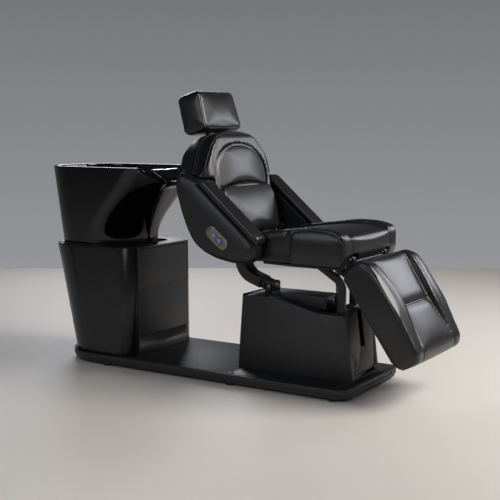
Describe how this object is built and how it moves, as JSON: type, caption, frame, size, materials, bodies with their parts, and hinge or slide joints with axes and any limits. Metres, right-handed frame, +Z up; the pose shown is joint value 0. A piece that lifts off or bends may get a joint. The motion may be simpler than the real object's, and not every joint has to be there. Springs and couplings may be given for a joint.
{
  "type": "hair washing bed",
  "caption": "Reclining salon shampoo unit: padded chair with legrest and headrest on a swinging pedestal drive, beside a basin cabinet on one floor plate.",
  "frame": {"origin": "on the floor, under the middle of the whole unit's plan at rest", "axes": "+X along the floor plate towards the legrest, +Y to the sitter's left, +Z up"},
  "size_m": [2.0152, 0.654, 1.3028],
  "materials": {
    "powder_coat": "satin black powder coat",
    "base_pan_steel": "flat black coated steel",
    "foot_rubber": "moulded black rubber",
    "black_plastic": "moulded black plastic",
    "black_screw": "blackened steel",
    "cabinet_gloss": "half-gloss black lacquer on formed sheet",
    "cabinet_top_board": "satin black painted plate",
    "basin_ceramic": "glossy black glaze",
    "gasket_rubber": "black rubber",
    "gel": "glossy soft black gel",
    "chrome": "polished chrome plate",
    "pipe_plastic": "grey pipe plastic",
    "pipe_brass": "drawn brass",
    "frame_steel": "black painted welded steel",
    "spine_plastic": "moulded black cover",
    "pin_steel": "turned steel",
    "arm_steel": "satin black painted steel",
    "actuator_plastic": "black housing",
    "rod_steel": "ground steel rod",
    "pan_plastic": "black moulded pan",
    "seat_leather": "black smooth-grained upholstery leather",
    "back_leather": "black smooth-grained upholstery leather",
    "head_leather": "black smooth-grained upholstery leather",
    "arm_leather": "black smooth-grained upholstery leather",
    "leg_leather": "black smooth-grained upholstery leather",
    "shell_leather": "black upholstery leather over a moulded shell",
    "board_wood": "black-stained plywood board",
    "post_chrome": "chromed tube",
    "control_metal": "bead-blasted warm grey metal",
    "button_metal": "turned metal with a lit blue ring"
  },
  "bodies": {
    "base": {"floor_plate": "powder_coat", "base_pan": "base_pan_steel", "levelling_feet": "foot_rubber", "foot_caps": "black_plastic", "plate_end_screws": "black_screw", "cabinet_shell": "cabinet_gloss", "cabinet_front_panel": "powder_coat", "cabinet_panel_screws": "black_screw", "cabinet_top": "cabinet_top_board", "basin": "basin_ceramic", "basin_gasket": "gasket_rubber", "neck_cushion": "gel", "waste_flange": "chrome", "waste_pipe": "pipe_plastic", "supply_pipes": "pipe_brass", "mixer_body": "chrome", "spray_holder": "chrome", "pedestal_frame": "frame_steel", "pedestal_cover_right": "powder_coat", "pedestal_cover_left": "powder_coat", "pedestal_front_panel": "powder_coat", "pedestal_front_bolts": "black_screw", "pedestal_rear_panel": "powder_coat", "pedestal_top_cover": "powder_coat", "spine_cover": "spine_plastic", "link_bracket": "frame_steel", "link_pin": "pin_steel"},
    "front_arms": {"front_arms": "arm_steel"},
    "rear_link": {"rear_link": "arm_steel"},
    "actuator_body": {"actuator_body": "actuator_plastic"},
    "actuator_rod": {"actuator_rod": "rod_steel"},
    "seat": {"seat_frame": "frame_steel", "seat_pivot_shaft": "pin_steel", "open_link_pin": "pin_steel", "back_hinge_pins": "pin_steel", "legrest_pins": "pin_steel", "seat_bottom_cover": "pan_plastic", "seat_cushion": "seat_leather"},
    "back": {"back_arms": "frame_steel", "back_shell": "shell_leather", "back_board": "board_wood", "back_bolster": "back_leather", "upper_pad": "back_leather", "lumbar_pad": "back_leather", "post_sleeves": "black_plastic", "wing_right": "shell_leather", "wing_left": "shell_leather", "armrest_pad_right": "arm_leather", "armrest_pad_left": "arm_leather", "control_plate": "control_metal"},
    "headrest": {"headrest_cushion": "head_leather", "headrest_posts": "post_chrome"},
    "button_recline": {"button_recline": "button_metal"},
    "button_raise": {"button_raise": "button_metal"},
    "legrest": {"legrest_arms": "frame_steel", "legrest_board": "board_wood", "legrest_cushion": "leg_leather"},
    "mixer_lever": {"mixer_lever": "chrome"},
    "spray_handset": {"spray_handset": "black_plastic"},
    "strainer": {"strainer": "chrome"}
  },
  "joints": [
    {"name": "chair_swing", "type": "hinge", "parent": "base", "child": "front_arms", "pos_m": [0.57541, 0, 0.338], "axis": [0, 1, 0], "range_deg": [0, 50]},
    {"name": "seat_level", "type": "hinge", "parent": "front_arms", "child": "seat", "pos_m": [0.43541, 0, 0.555], "axis": [0, 1, 0], "range_deg": [-50, 0]},
    {"name": "link_swing", "type": "hinge", "parent": "base", "child": "rear_link", "pos_m": [0.19241, 0, 0.417], "axis": [0, 1, 0], "range_deg": [0, 50]},
    {"name": "back_recline", "type": "hinge", "parent": "seat", "child": "back", "pos_m": [0.09041, 0, 0.665], "axis": [0, 1, 0], "range_deg": [-40, 0]},
    {"name": "legrest_raise", "type": "hinge", "parent": "seat", "child": "legrest", "pos_m": [0.66841, 0, 0.588], "axis": [0, 1, 0], "range_deg": [-50, 0]},
    {"name": "actuator_tilt", "type": "hinge", "parent": "base", "child": "actuator_body", "pos_m": [0.54541, 0, 0.13], "axis": [0, 1, 0], "range_deg": [0, 25.45]},
    {"name": "actuator_stroke", "type": "slide", "parent": "actuator_body", "child": "actuator_rod", "axis": [-0.0567, 0, 0.9984], "range_m": [0, 0.0745]},
    {"name": "headrest_slide", "type": "slide", "parent": "back", "child": "headrest", "axis": [-0.2181, 0, 0.9759], "range_m": [0, 0.07]},
    {"name": "press_recline", "type": "slide", "parent": "back", "child": "button_recline", "axis": [0, 1, 0], "range_m": [0, 0.0015], "stiffness_N_per_m": 500, "springref_m": -0.003},
    {"name": "press_raise", "type": "slide", "parent": "back", "child": "button_raise", "axis": [0, 1, 0], "range_m": [0, 0.0015], "stiffness_N_per_m": 500, "springref_m": -0.003},
    {"name": "mixer_turn", "type": "hinge", "parent": "base", "child": "mixer_lever", "pos_m": [-0.94159, 0.062, 0.985], "axis": [0, 0, 1], "range_deg": [-35, 35]},
    {"name": "spray_lift", "type": "slide", "parent": "base", "child": "spray_handset", "axis": [0, 0, 1], "range_m": [0, 0.3]},
    {"name": "strainer_lift", "type": "slide", "parent": "base", "child": "strainer", "axis": [0, 0, 1], "range_m": [0, 0.06]}
  ],
  "couplings": [
    {"joint": "seat_level", "follows": "chair_swing", "ratio": -1},
    {"joint": "link_swing", "follows": "chair_swing", "ratio": 1},
    {"joint": "back_recline", "follows": "chair_swing", "ratio": -0.8},
    {"joint": "legrest_raise", "follows": "chair_swing", "ratio": -1},
    {"joint": "actuator_tilt", "follows": "chair_swing", "ratio": 0.5081},
    {"joint": "actuator_stroke", "follows": "chair_swing", "m_per_rad": 0.0851}
  ]
}
